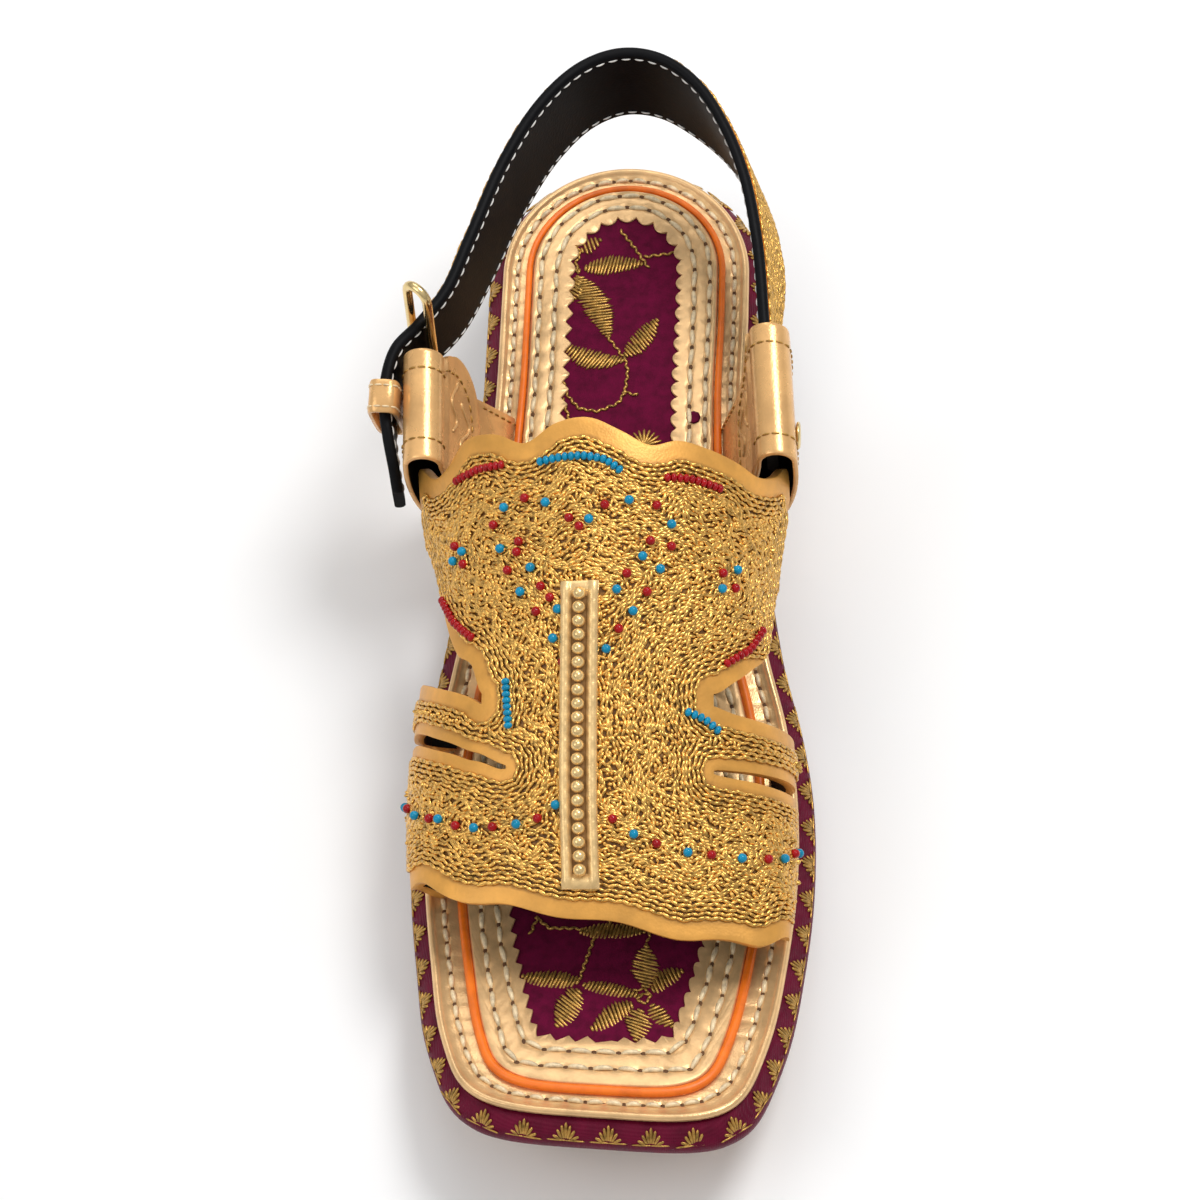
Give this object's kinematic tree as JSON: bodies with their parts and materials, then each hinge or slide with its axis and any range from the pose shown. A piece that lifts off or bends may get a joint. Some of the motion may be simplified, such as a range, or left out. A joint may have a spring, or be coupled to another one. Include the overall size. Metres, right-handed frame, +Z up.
{
  "type": "leather sandal",
  "caption": "Embroidered leather sandal for the right foot with an open toe, cut-out vamp, folded side posts, buckled heel strap and a sprung leather sole.",
  "frame": {"origin": "on the floor, under the middle of the sandal's overall box", "axes": "+Z up, +Y towards the heel, +X towards the inner (medial) side of the right foot"},
  "size_m": [0.1182, 0.2962, 0.094],
  "materials": {
    "black_rubber": "pebbled matt rubber",
    "tan_leather": "smooth vegetable-tanned sole leather",
    "maroon_satin": "satin with gold fan motifs",
    "gold_leather": "metallic gold foil leather, stitched",
    "orange_cord": "waxed piping cord",
    "maroon_velvet": "velvet with gold thread leaves",
    "embroidery": "leather covered with couched gold cord and beads",
    "black_leather": "smooth black lining leather, white stitching",
    "brass": "polished pale brass"
  },
  "bodies": {
    "root": {"tread_pad": "black_rubber", "heel_lift": "black_rubber", "outsole": "tan_leather", "edge_band": "maroon_satin", "footbed_base": "gold_leather", "piping": "orange_cord", "footbed_frame": "gold_leather", "footbed_insert": "maroon_velvet", "vamp": "embroidery", "centre_strip": "gold_leather", "post_medial": "gold_leather", "post_lateral": "gold_leather", "back_strap": "black_leather", "buckle": "brass", "keeper": "gold_leather", "eyelet_upper": "brass", "eyelet_lower": "brass"}
  },
  "joints": []
}
